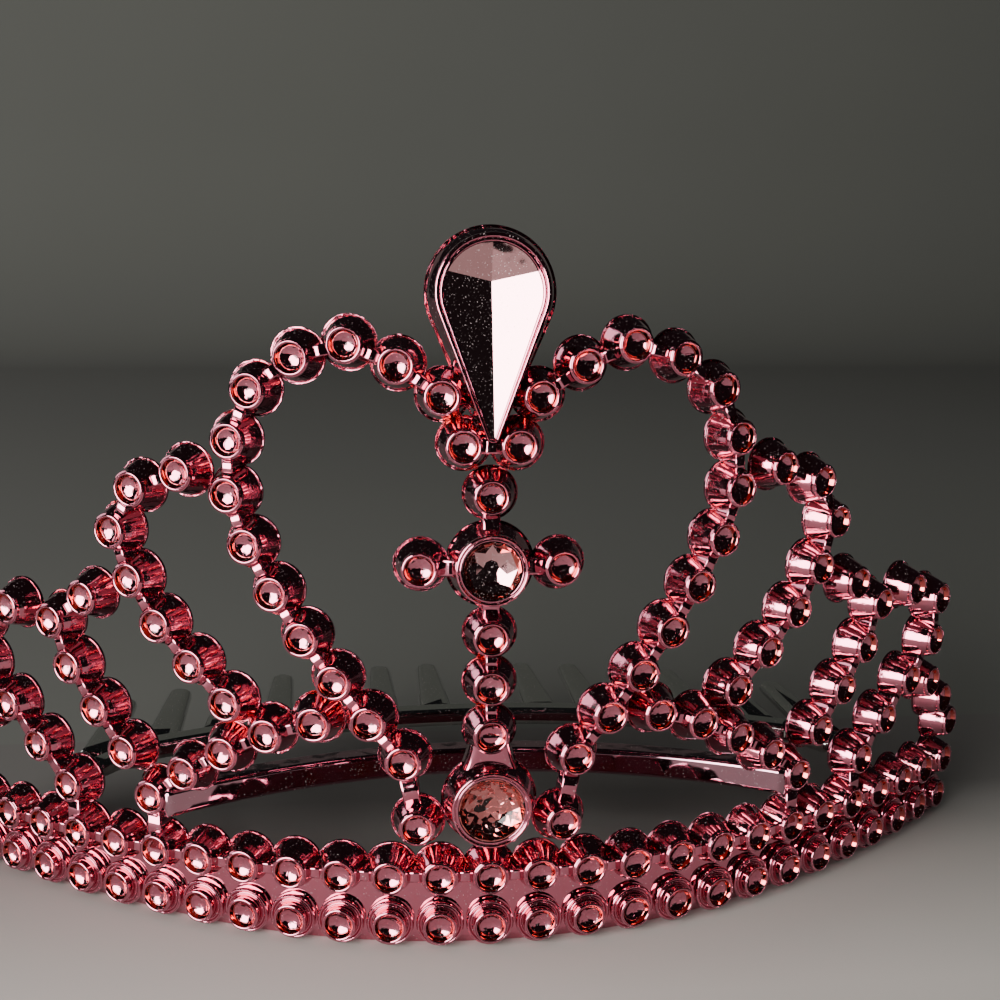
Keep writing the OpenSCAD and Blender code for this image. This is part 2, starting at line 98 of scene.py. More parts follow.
class CrownFaceSizes(bpy.types.PropertyGroup):
    """Sizes of the curved face that all the studs stand on."""
    crown_h: length("Height", 62.4, "From the ground to the top of the teardrop")
    half_width: length("Half width", 53, "Half of the width across the band's ends")
    lattice_h: length("Lattice height", 50, "Height of the great arches above the lower row")
    front_radius: length("Front radius", 57, "Plan radius of the face's front")
    front_turn: degrees("Front turn", 27, "Turn of the front radius on each side")
    side_radius: length("Side radius", 115, "Plan radius of the flatter sides")
    lean: share("Lean", 0.065, "Backward lean for each unit of height")
    flare_h: length("Flare height", 86, "Height above the lower row where the face would be flat")
    lower_row_z: length("Lower row", 2.3, "Height of the lower row above the ground")
    row_rise: length("Row rise", 4.5, "From the lower row up to the upper row")
    band_setback: length("Band setback", 1.5, "From the cups' rims back to the band")
    band_t: length("Band thickness", 1.2, "Thickness of the band")
    band_bevel_h: length("Bevel height", 1.0, "Height of the bevel along the band's foot")
    band_bevel_d: length("Bevel depth", 0.5, "Depth of that bevel")


class CrownStudSizes(bpy.types.PropertyGroup):
    """Sizes of a cupped stud and of what ties studs together."""
    barrel_r: length("Back radius", 2.46, "Radius of a stud at its back")
    depth: length("Depth", 2.6, "From the rim of the cup to the back")
    clear: length("Clearance", 0.06, "How far a stud stays inside the packed model")
    edge: length("Back edge", 0.3, "Height of the edge round a stud's back")
    cup_r: length("Cup radius", 1.56, "Radius of the cup")
    cup_h: length("Cup height", 0.3, "Height of a cup's straight wall")
    lip_w: length("Lip width", 0.36, "Width of the rounded lip")
    dish_depth: length("Dish depth", 0.8, "Depth of the cup's hollow")
    bead: length("Back bead", 0.08, "Width of the bead round the back edge")
    ring_r: length("Ring radius", 2.1, "Radius of the ring under a lower cup")
    ring_drop: length("Ring drop", 0.85, "From a cup's rim back to its ring")
    lap: length("Lap", 0.5, "How far neighbouring studs run into each other")
    rib_w: length("Rib width", 1.0, "Width of the rib between neighbouring studs")
    rib_drop: length("Rib drop", 0.35, "From the cups' rims back to a rib")
    rod_w: length("Rod width", 1.5, "Width of a rod between studs that stand apart")
    rod_t: length("Rod depth", 1.7, "Depth of a rod")
    rod_drop: length("Rod drop", 0.65, "From the cups' rims back to a rod")
    sides: IntProperty(name="Sides", description="Steps round a stud", default=30)


class CrownSettingSizes(bpy.types.PropertyGroup):
    """Sizes of the round settings, the teardrop and their stones."""
    base_r: length("Base setting radius", 4.2, "Radius of the setting over the band")
    base_share: share("Base setting height", 0.215, "Its height as a share of the lattice")
    cross_r: length("Cross setting radius", 3.85, "Radius of the setting of the cross")
    cross_share: share("Cross height", 0.632, "Its height as a share of the lattice")
    collar_step: length("Collar step", 0.75, "How far a setting narrows up to its collar")
    collar_rise: length("Collar rise", 0.45, "How far a collar stands in front of the cups")
    stone_lip_w: length("Stone lip", 0.55, "Width of the lip round a large stone")
    stone_t: length("Stone thickness", 2.1, "Thickness of a large stone")
    stone_dish: length("Stone hollow", 1.1, "Depth of a round stone's hollow")
    drop_dish: length("Teardrop hollow", 1.6, "Depth of the teardrop stone's hollow")
    stone_sides: IntProperty(name="Stone sides", description="Sides of a round stone's hollow", default=8)
    drop_w: length("Teardrop width", 11.1, "Width across the teardrop setting")
    drop_tip_r: length("Teardrop tip", 0.9, "Radius at the tip of the setting")
    drop_lip_w: length("Teardrop rim", 0.7, "Width of the rim round the teardrop stone")
    fork_share: share("Fork height", 0.838, "Height of the studs under the tip, as a share of the lattice")
    crease_share: share("Crease height", 0.8, "Where the facets meet, as a share of the teardrop's length")
    fit_gap: length("Fit gap", 0.05, "Hairline gap between a stone and its setting")
    stone_sink: length("Stone sink", 0.15, "From the collar down to a stone's rim")


class CrownRearSizes(bpy.types.PropertyGroup):
    """Sizes of the rear bar and the comb."""
    bar_y: length("Bar place", 16, "From the crown's front back to the bar's middle")
    bar_radius: length("Bar radius", 57, "Plan radius of the bar")
    bar_d: length("Bar depth", 2.4, "Depth of the bar")
    bar_t: length("Bar height", 2.5, "Height of the bar")
    bar_z: length("Bar level", 10.3, "Height of the bar's lower face")
    spine_y: length("Spine place", 28, "From the crown's front back to the spine's middle")
    spine_radius: length("Spine radius", 76, "Plan radius of the spine")
    spine_d: length("Spine depth", 2.6, "Depth of the spine")
    spine_t: length("Spine height", 1.8, "Thickness of the spine")
    spine_z: length("Spine level", 10.5, "Height of the spine's lower face")
    spine_half_w: length("Spine half width", 33, "Half of the spine's width")
    arm_w: length("Arm width", 2.3, "Width of the arms that carry the spine")
    arm_t: length("Arm thickness", 1.6, "Thickness of the arms")
    teeth: IntProperty(name="Teeth", description="Number of teeth", default=14)
    tooth_pitch: length("Tooth pitch", 5.56, "From one tooth to the next")
    tooth_len: length("Tooth length", 19, "Length of a tooth behind the spine")
    tooth_w: length("Tooth width", 3.7, "Width of a tooth at its root")
    tooth_t: length("Tooth thickness", 1.5, "Thickness of a tooth")
    tooth_tip_r: length("Tooth tip", 1.3, "Radius of a tooth's tip")
    tooth_drop: degrees("Tooth drop", 4, "Slope of the teeth down towards their tips")


class CrownFinish(bpy.types.PropertyGroup):
    """Colours of the metallised surfaces."""
    pink: colour("Pink lacquer", "#CC7389", "Pink lacquer over the mirror, thin")
    # Painted bounce light: a redder colour painted into creases and hollow walls, for the light that bounces
    # between the mirror faces
    painted_bounce_red: colour("Pooled lacquer", "#C64B3E", "Pink lacquer where it pooled")
    stone: colour("Stone lacquer", "#DDA2A8", "Lacquer on the stones")
    bar: colour("Bar lacquer", "#AB7C8B", "Thin lacquer on the rear bar")
    comb: colour("Comb silver", "#A9ACA8", "Bare mirror of the comb")
    floor: colour("Floor", "#B9B5AE", "The pale board that the crown stands on")
    card: colour("Backdrop", "#52534E", "The plain card behind the crown")


class Face:
    """The crown's face: where a place across and up lies, and which way a stud there points."""

    def __init__(self, s):
        self.s = s
        self.front_y = -s.band_setback - (s.band_t + s.band_bevel_d) / 2
        self.bend_x = s.front_radius * np.sin(s.front_turn)
        self.cx = self.bend_x - s.side_radius * np.sin(s.front_turn)
        self.cy = s.front_radius + (s.side_radius - s.front_radius) * np.cos(s.front_turn)
        self.bend_length = s.front_radius * s.front_turn
        self.length = self.bend_length + s.side_radius * (float(self.turn(s.half_width)) - s.front_turn)
        self.upper_row_z = s.lower_row_z + s.row_rise

    def plan_y(self, x):
        """Distance back of the plan curve: a front arc, and on each side a flatter one that meets it."""
        a = np.abs(x)
        front = self.s.front_radius - np.sqrt(np.maximum(self.s.front_radius ** 2 - a * a, 0))
        side = self.cy - np.sqrt(self.s.side_radius ** 2 - (a - self.cx) ** 2)
        return np.where(a <= self.bend_x, front, side)

    def turn(self, x):
        """Angle of the plan curve's tangent: the arc's sine is the distance across over its radius."""
        a = np.abs(x)
        front = np.arcsin(np.minimum(a / self.s.front_radius, 1))
        side = np.arcsin((a - self.cx) / self.s.side_radius)
        return np.sign(x) * np.where(a <= self.bend_x, front, side)

    def across(self, along):
        """Place across at a length along the plan curve from its middle."""
        a = np.abs(along)
        front = self.s.front_radius * np.sin(a / self.s.front_radius)
        turned_by = self.s.front_turn + (a - self.bend_length) / self.s.side_radius
        side = self.cx + self.s.side_radius * np.sin(turned_by)
        return np.sign(along) * np.where(a <= self.bend_length, front, side)

    def axes(self, x):
        """Level directions at places across: along the face, and straight out of it."""
        along = np.stack([np.cos(self.turn(x)), np.sin(self.turn(x)), np.zeros_like(x)], -1)
        return along, along[:, [1, 0, 2]] * MIRROR[[1, 0, 2]]

    def at(self, x, z):
        """Points of the face: the plan curve, opened out flatter and leant back with height."""
        x, z = np.broadcast_arrays(np.asarray(x, float), np.asarray(z, float))
        up = z - self.s.lower_row_z
        y = self.front_y + self.s.lean * up + self.plan_y(x) * (1 - up / self.s.flare_h)
        return np.stack([x, y, z], -1)

    def key(self, key):
        """The place that a key of an arch names."""
        key = np.asarray(key, float)
        return self.at(key[..., 0] * self.s.half_width, self.s.lower_row_z + key[..., 1] * self.s.lattice_h)


def arch(face, keys, pitch, steps=12):
    """Studs of an arch: a Catmull-Rom curve through the keys, laid on the face and cut into equal steps."""
    k = np.asarray(keys, float)
    padded = np.vstack([k[:1], k, k[-1:]])
    a, b, c, d = padded[:-3, None], padded[1:-2, None], padded[2:-1, None], padded[3:, None]
    t = (np.arange(steps) / steps)[None, :, None]
    square, cube = 2 * a - 5 * b + 4 * c - d, 3 * b - a - 3 * c + d
    curve = 0.5 * (2 * b + (c - a) * t + square * t ** 2 + cube * t ** 3)
    points = face.key(np.vstack([curve.reshape(-1, 2), k[-1:]]))
    runs = np.concatenate([[0], np.cumsum(np.linalg.norm(np.diff(points, axis=0), axis=1))])
    stops = np.linspace(0, runs[-1], round(runs[-1] / pitch) + 1)
    return face.at(np.interp(stops, runs, points[:, 0]), np.interp(stops, runs, points[:, 2]))


class Layout:
    """Where every stud and setting of the crown stands."""

    def __init__(self, scene):
        self.studs, self.settings, self.finish = scene.crown_studs, scene.crown_settings, scene.crown_finish
        face = self.face = Face(scene.crown_face)
        s, st, g = face.s, self.studs, self.settings
        self.pitch = 2 * st.barrel_r - st.lap
        row_end = face.length - st.barrel_r
        count = round(row_end / self.pitch)
        row_x = face.across(np.arange(-count, count + 1) * row_end / count)
        self.lower, self.upper = face.at(row_x, s.lower_row_z), face.at(row_x, face.upper_row_z)
        self.arches = {name: arch(face, keys, self.pitch)[int(name != "great"):]
                       for name, keys in ARCH_KEYS.items()}
        self.great_end = face.key([GREAT_FOOT])
        self.base = face.at([0], s.lower_row_z + g.base_share * s.lattice_h)
        self.cross = face.at([0], s.lower_row_z + g.cross_share * s.lattice_h)
        self.fork_z = s.lower_row_z + g.fork_share * s.lattice_h
        sides, fork_lap, arm_lap = np.array([-1, 1]), 0.1 * MM, 0.2 * MM
        self.fork = face.at(sides * (st.barrel_r - fork_lap), self.fork_z)
        self.arms = face.at(sides * (g.cross_r + st.barrel_r - arm_lap), self.cross[0, 2])
        self.low_stack = self.stack(self.base[0, 2] + g.base_r, self.cross[0, 2] - g.cross_r)
        self.high_stack = self.stack(self.cross[0, 2] + g.cross_r, self.fork_z - st.barrel_r * 0.8)
        side = np.vstack(list(self.arches.values()) + [self.great_end])
        self.every = np.vstack([self.upper, self.low_stack, self.high_stack, self.arms, self.fork, side,
                                side * MIRROR])
        self.drop_z = s.crown_h - g.drop_w / 2
        self.drop_run = self.drop_z - self.fork_z - g.drop_tip_r

    def stack(self, low, high):
        """Studs stacked at equal steps between two heights on the middle line."""
        count = max(1, round((high - low) / self.pitch))
        step = (high - low) / count
        return self.face.at(np.zeros(count), low + step * (np.arange(count) + 0.5))


class Shell:
    """A closed surface: its points, its faces, each point's place on its own form, and three marks for each
    point: how far its colour is painted redder for the light that bounces between the mirror faces, whether
    it is on a drawn wall, and whether it is in a hollow."""

    def __init__(self, co, faces, own=None, marks=None, flat=False):
        self.co = np.asarray(co, float)
        self.faces = [np.atleast_2d(f) for f in faces]
        self.own = self.co.copy() if own is None else own
        self.marks = np.zeros((len(self.co), 3)) if marks is None else marks
        self.flat = flat

    def outward(self):
        """Turns the faces over if the volume they enclose comes out negative."""
        volume = 0.0
        for f in self.faces:
            a, rest = self.co[f[:, 0]], self.co[f]
            for i in range(1, f.shape[1] - 1):
                volume += np.einsum("ij,ij->", a, np.cross(rest[:, i], rest[:, i + 1]))
        if volume < 0:
            self.faces = [f[:, ::-1] for f in self.faces]
        return self

    def mirrored(self):
        """The same shell on the other side of the middle, with the pattern of its finish moved on."""
        own = self.own + [0, LEFT_SHIFT, 0]
        return Shell(self.co * MIRROR, [f[:, ::-1] for f in self.faces], own, self.marks, self.flat)


def grid_faces(rows, columns):
    """Quads of a grid whose columns close on themselves, row by row."""
    i, j = np.meshgrid(np.arange(rows - 1), np.arange(columns), indexing="ij")
    k = (j + 1) % columns
    quads = np.stack([i * columns + j, i * columns + k, (i + 1) * columns + k, (i + 1) * columns + j], -1)
    return quads.reshape(-1, 4)


def polar(radius, angle):
    """Places on a plane: the radius times the angle's cosine and sine."""
    return radius * np.stack([np.cos(angle), np.sin(angle)], -1)


def level(outline, height):
    """A flat outline set at one height."""
    return np.column_stack([outline, np.full(len(outline), height)])


def tube(rings):
    """A closed surface from a stack of like rings, with a flat face on the first and the last ring."""
    rows, columns = rings.shape[:2]
    first, last = np.arange(columns)[::-1], np.arange(columns) + (rows - 1) * columns
    return Shell(rings.reshape(-1, 3), [grid_faces(rows, columns), first, last]).outward()


def turned(profile, sides):
    """Surface of revolution: each profile point (radius, height) goes round the axis. The ends are poles."""
    r, h = np.asarray(profile, float).T
    rings = len(r) - 2
    around = polar(r[1:-1, None, None], np.arange(sides) * 2 * np.pi / sides)
    up = np.broadcast_to(h[1:-1, None, None], (rings, sides, 1))
    co = np.vstack([np.concatenate([around, up], -1).reshape(-1, 3), [[0, 0, h[0]], [0, 0, h[-1]]]])
    first = rings * sides
    j = np.arange(sides)
    k, top = (j + 1) % sides, first - sides
    back = np.stack([np.full(sides, first), k, j], -1)
    front = np.stack([np.full(sides, first + 1), top + j, top + k], -1)
    return Shell(co, [grid_faces(rings, sides), back, front]).outward()


def rounded(corners, steps=2):
    """A profile with its corners rounded: each corner (x, y, cut) becomes a parabola that starts and ends
    the cut's millimetres from it, with a point close by on each straight side that keeps the shading flat
    there."""
    hold = 0.03 * MM
    out = []
    for i, (x, y, cut) in enumerate(corners):
        here = np.array([x, y])
        if cut == 0:
            out.append(here[None])
            continue
        before, after = (np.array(corners[n % len(corners)][:2]) - here for n in (i - 1, i + 1))
        before, after = before / np.linalg.norm(before), after / np.linalg.norm(after)
        reach = cut * MM
        t = np.linspace(0, 1, steps + 1)[:, None]
        arc = here + before * reach * (1 - t) ** 2 + after * reach * t ** 2
        out.append(np.vstack([here + before * (reach + hold), arc, here + after * (reach + hold)]))
    return np.vstack(out)


def box(half_width, low, high, cut, steps=2):
    """A rectangular section with its corners rounded."""
    places = ((half_width, low), (half_width, high), (-half_width, high), (-half_width, low))
    return rounded([(*place, cut) for place in places], steps)


def dish(radius, depth, rings=8):
    """A round hollow from its edge to its middle: part of a sphere through its edge and lowest point."""
    ball = (radius ** 2 + depth ** 2) / (2 * depth)
    r = radius * np.sin(np.linspace(1, 0, rings) * np.pi / 2)
    return np.stack([r, ball - depth - np.sqrt(ball ** 2 - r ** 2)], -1)


def cup_profile(studs, foot_h):
    """The front of a cup from outside in: its wall from the given height, the rounded lip, a steep inner
    wall and a shallow hollow."""
    outside = studs.cup_r - studs.clear
    lip_in = studs.cup_r - studs.lip_w
    bowl_r = lip_in - BOWL_STEP
    shoulder = 0.6 * studs.dish_depth
    lip = rounded([(outside, foot_h, 0), (outside, 0, 0.13), (lip_in + 0.06 * MM, 0, 0.1),
                   (bowl_r + 0.04 * MM, -shoulder, 0.05), (bowl_r, -shoulder - 0.01 * MM, 0)], steps=3)
    return np.vstack([lip[1:-1], dish(bowl_r, studs.dish_depth - shoulder) - [0, shoulder]])


def marked(shell, studs, wall_r):
    """Marks a turned form from its radius and height: the cone behind the cup, inside the wall radius, is a
    drawn wall, what lies inside the lip is a hollow, and the hollow's steep wall is painted redder, for the
    light that bounces round inside the cup."""
    near = 0.02 * MM
    lip_in, top = studs.cup_r - studs.lip_w, -studs.dish_depth - 0.05 * MM
    bowl_r = lip_in - BOWL_STEP + near / 2
    r, h = np.hypot(shell.co[:, 0], shell.co[:, 1]), shell.co[:, 2]
    inside = (r < lip_in + near) & (h > top)
    # Painted bounce light: the steep inner wall of the cup is painted redder
    shell.marks[:, 0] = 0.85 * (inside & (r > bowl_r))
    shell.marks[:, 1] = (r > lip_in) & (h < top) & (r < wall_r - near)
    shell.marks[:, 2] = inside & (r < bowl_r)
    return shell


def back_bead(studs):
    """The thin bead round a back edge, as corners (inset from the wall, height, cut)."""
    back = -studs.depth
    low, high = back + studs.edge - 0.04 * MM, back + studs.edge + 0.04 * MM
    return [(0, back, 0.1), (0, high, 0.1), (studs.bead, high, 0.05), (studs.bead + 0.05 * MM, low, 0.03)]


def cone_foot(studs, wall_r, top_r, top):
    """The foot of a stud or setting from the middle of its back: the bead round the back edge, then a
    slightly hollow cone up to the cup or collar."""
    bead = [(wall_r - inset, height, cut) for inset, height, cut in back_bead(studs)]
    bend = ((wall_r + top_r) / 2 - 0.05 * MM, (studs.edge - studs.depth + top) / 2, 0.3)
    return [(0, -studs.depth, 0), *bead, bend, (top_r + 0.02 * MM, top, 0.12)]


def stud_shell(studs):
    """A whole stud: a cone that carries a cup."""
    wall_r = studs.barrel_r - studs.clear
    foot = rounded(cone_foot(studs, wall_r, studs.cup_r, -studs.cup_h) + [(studs.cup_r, 0, 0)])
    stud = turned(np.vstack([foot[:-1], cup_profile(studs, -studs.cup_h + 0.15 * MM)]), studs.sides)
    return marked(stud, studs, wall_r)


def ring_shell(studs, face):
    """A cup of the lower row on its ring: the ring has a rounded brim and a groove round the cup's neck."""
    r, neck, brim = studs.ring_r, studs.cup_r, -studs.ring_drop
    back = -face.s.band_setback - face.s.band_t / 2
    ring = rounded([
        (0, back, 0),
        (r, back, 0),
        (r, brim - 0.03 * MM, 0.12),
        (r - 0.2 * MM, brim + 0.07 * MM, 0.08),
        (neck + 0.14 * MM, brim - 0.12 * MM, 0.06),
        (neck + 0.02 * MM, brim - 0.04 * MM, 0.05),
        (neck, 0, 0)])
    cup = turned(np.vstack([ring[:-1], cup_profile(studs, -studs.cup_h)]), studs.sides)
    return marked(cup, studs, wall_r=0)


def setting_shell(layout, wall_r):
    """A round setting: a cone, a collar whose rim is parted by a groove, and the seat of its stone."""
    g, sides = layout.settings, 64
    collar, rise, floor = wall_r - g.collar_step, g.collar_rise, g.collar_rise - g.stone_t
    seat = collar - g.stone_lip_w
    setting = turned(rounded(cone_foot(layout.studs, wall_r, collar, 0) + [
        (collar, rise, 0.14),
        (collar - 0.24 * MM, rise - 0.02 * MM, 0.08),
        (collar - 0.3 * MM, rise - 0.16 * MM, 0.05),
        (collar - 0.38 * MM, rise - 0.09 * MM, 0.05),
        (seat, rise - 0.1 * MM, 0.06),
        (seat, floor, 0),
        (0, floor, 0)]), sides)
    r, h = np.hypot(setting.co[:, 0], setting.co[:, 1]), setting.co[:, 2]
    setting.marks[:, 1] = (r > collar) & (h < -0.1 * MM) & (r < wall_r - 0.02 * MM)
    return setting


def onto(shell, points, face):
    """Copies of a shell drawn along +Z, each set on the face with its +Z out of the face."""
    across, out = face.axes(points[:, 0])
    local, count = shell.co[None], len(points)
    co = (points[:, None] + local[..., :1] * across[:, None] + local[..., 1:2] * UP
          + local[..., 2:] * out[:, None])
    steps = np.arange(count)[:, None, None] * len(shell.co)
    faces = [(f[None] + steps).reshape(-1, f.shape[1]) for f in shell.faces]
    own = local + (points[:, [0, 2, 2]] * [STUD_SPREAD, STUD_SPREAD, 0])[:, None]
    return Shell(co.reshape(-1, 3), faces, own.reshape(-1, 3), np.tile(shell.marks, (count, 1)), shell.flat)


def bars(p, q, width, low, high, shorter, face, cut=0.22):
    """Bars with rounded edges from p to q, whose cross-section is width wide and reaches from low to high
    out of the face, and whose ends lie half of the shorter length inside p and q."""
    across, out = face.axes((p[:, 0] + q[:, 0]) / 2)
    run = q - p
    angle = np.arctan2(run[:, 2], np.einsum("ij,ij->i", run, across))[:, None]
    side = UP * np.cos(angle) - across * np.sin(angle)
    along = across * np.cos(angle) + UP * np.sin(angle)
    ends = along * (np.linalg.norm(run, axis=1)[:, None] - shorter) / 2
    section = box(width / 2, low, high, cut, steps=3)
    rings = section[:, :1] * side[:, None] + section[:, 1:] * out[:, None] + ((p + q) / 2)[:, None]
    return [tube(np.stack([ring - end, ring + end])) for ring, end in zip(rings, ends)]


def ribs(points, layout):
    """The ribs between the cups of neighbouring studs."""
    st = layout.studs
    back, inside = 0.2 * MM - st.depth, 2 * (st.cup_r - st.lip_w / 2)
    return bars(points[:-1], points[1:], st.rib_w, back, -st.rib_drop, inside, layout.face, cut=0.16)


def rods(p, q, layout):
    """Short square rods between studs that stand apart."""
    st = layout.studs
    inside = 2 * (st.cup_r - st.lip_w)
    return bars(p, q, st.rod_w, -st.rod_drop - st.rod_t, -st.rod_drop, inside, layout.face)


def strand(points, layout):
    """A string of studs with its ribs."""
    return [onto(stud_shell(layout.studs), points, layout.face)] + ribs(points, layout)


def swept(path, out, section):
    """A section (outwards, up) carried along a path with its outward directions, with flat ends."""
    rings = path[:, None] + section[None, :, :1] * out[:, None] + section[None, :, 1:] * UP
    return tube(rings)


def band_wall(face):
    """The band's wall: a section with rounded edges and a bevelled foot carried along the plan curve."""
    s, steps = face.s, 240
    back, front, top = -s.band_setback - s.band_t, -s.band_setback, face.upper_row_z
    section = rounded([(back, 0, 0.15), (front - s.band_bevel_d, 0, 0.1), (front, s.band_bevel_h, 0.3),
                       (front, top, 0.15), (back, top, 0.2)])
    x = face.across(np.linspace(-face.length, face.length, steps))
    path = np.stack([x, face.front_y + face.plan_y(x), np.zeros_like(x)], -1)
    return swept(path, face.axes(x)[1], section)


def bow(half_width, middle_y, radius, section, face):
    """A section carried along an arc that bows backwards, from one side to the other."""
    steps = 90
    angle = np.linspace(-1, 1, steps) * np.arcsin(half_width / radius)
    out = np.stack([np.sin(angle), np.cos(angle), np.zeros_like(angle)], -1)
    centre = np.array([0, face.front_y + middle_y - radius, 0])
    return swept(centre + out * radius, out, section)


def capsule(head_r, tip_r, run, corner=None):
    """A drop outline: an arc round the head, two tangents, and an arc round the tip. The corner, if given,
    is an angle on the head arc that the points must hit."""
    slope = np.arcsin((head_r - tip_r) / run)
    stop = 0.6 if corner is None else corner
    right = np.concatenate([np.linspace(-slope, stop, 12), np.linspace(stop, np.pi / 2, 16)[1:]])
    head = np.concatenate([right, (np.pi - right[:-1])[::-1]])
    tip = np.linspace(np.pi + slope, 2 * np.pi - slope, 13)
    head_arc, tip_arc = polar(head_r, head), polar(tip_r, tip) - [0, run]
    t = np.linspace(0, 1, 12)[1:-1, None]
    left = head_arc[-1] * (1 - t) + tip_arc[0] * t
    back = tip_arc[-1] * (1 - t) + head_arc[0] * t
    return np.vstack([head_arc, left, tip_arc, back])


def on_teardrop(co, layout):
    """Points drawn on the XY plane, set on the teardrop's face, which leans back with the crown's face."""
    lean = np.arctan(layout.face.s.lean)
    centre = layout.face.at([0], layout.drop_z)[0]
    up, out = np.array([0, np.sin(lean), np.cos(lean)]), np.array([0, -np.cos(lean), np.sin(lean)])
    return centre + co[..., :1] * [1, 0, 0] + co[..., 1:2] * up + co[..., 2:] * out


def drop_rings(layers, layout, corner=None):
    """A stack of drop outlines, one for each layer (inset, height)."""
    g, least_tip = layout.settings, 0.1 * MM
    rings = []
    for inset, height in layers:
        tip_r = max(g.drop_tip_r - inset / 2, least_tip)
        rings.append(level(capsule(g.drop_w / 2 - inset, tip_r, layout.drop_run, corner), height))
    return np.array(rings)


def teardrop_setting(layout):
    """The drop-shaped setting: wall, shelf, rim with a groove and a thin inner line, and its stone's seat."""
    st, g = layout.studs, layout.settings
    step, rise, seat = g.collar_step, g.collar_rise, g.collar_step + g.drop_lip_w
    layers = rounded([
        (0.4 * MM, -st.depth, 0),
        *back_bead(st),
        (step * 0.6, -0.9 * MM, 0.3),
        (step - 0.02 * MM, 0, 0.1),
        (step, rise, 0.14),
        (step + 0.36 * MM, rise - 0.03 * MM, 0.1),
        (step + 0.42 * MM, rise - 0.2 * MM, 0.05),
        (step + 0.52 * MM, rise - 0.08 * MM, 0.05),
        (seat, rise - 0.14 * MM, 0.05),
        (seat, rise - g.stone_t, 0)])
    return tube(on_teardrop(drop_rings(layers, layout), layout))


def teardrop_stone(layout):
    """The teardrop stone: its face is four planes that rise from the deepest point to the rim, each through
    one side of a kite, and its wall goes straight down from the rim."""
    g = layout.settings
    inset = g.collar_step + g.drop_lip_w + g.fit_gap
    head = g.drop_w / 2 - inset
    deepest = np.array([0, -layout.drop_run + g.crease_share * (layout.drop_run + head)])
    side = np.array([1.35, 0.3]) * head
    kite = np.array([[0, 1.3 * head], side * [-1, 1], [0, -layout.drop_run - MM - deepest[1]], side])
    ray = side / np.linalg.norm(side)
    reach = -deepest @ ray + np.sqrt((deepest @ ray) ** 2 - deepest @ deepest + head ** 2)
    corner = np.arctan2(*(deepest + reach * ray)[::-1])
    rim = drop_rings([(inset, 0)], layout, corner)[0]
    offset = rim[:, :2] - deepest
    sides = zip(kite, np.roll(kite, -1, axis=0))
    rise = [offset @ np.linalg.solve(np.array([a, b]), [1, 1]) for a, b in sides]
    top = g.collar_rise - g.stone_sink
    floor, count = top - g.drop_dish, len(rim)
    rim[:, 2] = np.minimum(floor + (g.drop_dish + 0.1 * MM) * np.max(rise, axis=0), top)
    co = np.vstack([level(rim[:, :2], g.collar_rise - g.stone_t), rim, [[*deepest, floor]]])
    j = np.arange(count)
    fan = np.stack([np.full(count, 2 * count), count + j, count + (j + 1) % count], -1)
    return Shell(on_teardrop(co, layout), [grid_faces(2, count), fan, j[::-1]], own=co, flat=True).outward()


def round_stone(layout, point, wall_r):
    """A round stone: a narrow flat rim, a steep tier of facets down to a polygon, two tiers of triangles
    whose corners lie on a paraboloid, and a flat table at the bottom."""
    g = layout.settings
    n, r = g.stone_sides, wall_r - g.collar_step - g.stone_lip_w - g.fit_gap
    top, wall = g.collar_rise - g.stone_sink, 8 * n
    steep_r, bowl_r, table_r, shoulder = 0.86 * r, 0.56 * r, 0.27 * r, 0.38 * g.stone_dish
    fall = (g.stone_dish - shoulder) / (steep_r ** 2 - table_r ** 2)
    depth = shoulder + fall * (steep_r ** 2 - bowl_r ** 2)
    # Rings from the back to the table: radius, height, corners and turn
    tiers = [(r, g.collar_rise - g.stone_t, wall, 0), (r, top, wall, 0), (0.98 * r, top, 2 * n, 0),
             (steep_r, top - shoulder, n, 0), (steep_r - 0.01 * MM, top - shoulder - 0.003 * MM, n, 0),
             (bowl_r, top - depth, n, np.pi / n), (table_r, top - g.stone_dish, n, 0)]
    rings = [level(polar(radius, np.arange(count) * 2 * np.pi / count + turn), height)
             for radius, height, count, turn in tiers]
    rim, outer, steep, upper, middle, table = np.cumsum([len(ring) for ring in rings])[:6]
    j = np.arange(n)
    k = (j + 1) % n
    a, b, c = outer + 2 * j, outer + 2 * j + 1, outer + 2 * k
    lip = np.array([[rim + (4 * i + t) % wall for t in range(5)] + [outer + (i + 1) % (2 * n), outer + i]
                    for i in range(2 * n)])
    rows = [(steep + j, a, b), (steep + j, b, steep + k), (steep + k, b, c),
            (upper + j, steep + j, steep + k, upper + k), (upper + j, upper + k, middle + j),
            (middle + j, upper + k, middle + k), (table + j, middle + j, table + k),
            (table + k, middle + j, middle + k)]
    faces = [grid_faces(2, wall), np.arange(wall)[::-1], lip, table + j, *(np.stack(row, -1) for row in rows)]
    shell = Shell(np.vstack(rings), faces, flat=True).outward()
    # Painted bounce light: the steep tier of facets is painted redder, for the light bouncing between its
    # walls
    shell.marks[outer:upper, 0] = 0.9
    return onto(shell, point, layout.face)


def skirt(layout):
    """The swept skirt from the base setting up to the first stud above it, with rounded front edges: its
    half width falls towards the stud's with a power of the way still to go."""
    start, power = 0.35, 1.7
    low_r, high_r = layout.settings.base_r, 0.7 * layout.studs.barrel_r
    run = layout.low_stack[0, 2] - layout.base[0, 2]
    t = np.linspace(start, 1, 14)
    half = high_r + (low_r - high_r) * (1 - t) ** power
    outline = np.vstack([np.stack([half, t * run], -1), np.stack([-half, t * run], -1)[::-1]])
    inward = np.sign(outline[:, :1]) * [[MM, 0]]
    layers = ((0.1, -2.6), (0, -2.5), (0.2, -1.5), (0.35, -1.2), (0.6, -1.07), (0.9, -1.05))
    rings = [level(outline - inward * inset, height * MM) for inset, height in layers]
    return onto(tube(np.array(rings)), layout.base, layout.face)


def spine_back(rear, face, x):
    """How far back the spine's middle line lies at a place across: a circle that bows backwards."""
    return face.front_y + rear.spine_y - rear.spine_radius + np.sqrt(rear.spine_radius ** 2 - x * x)


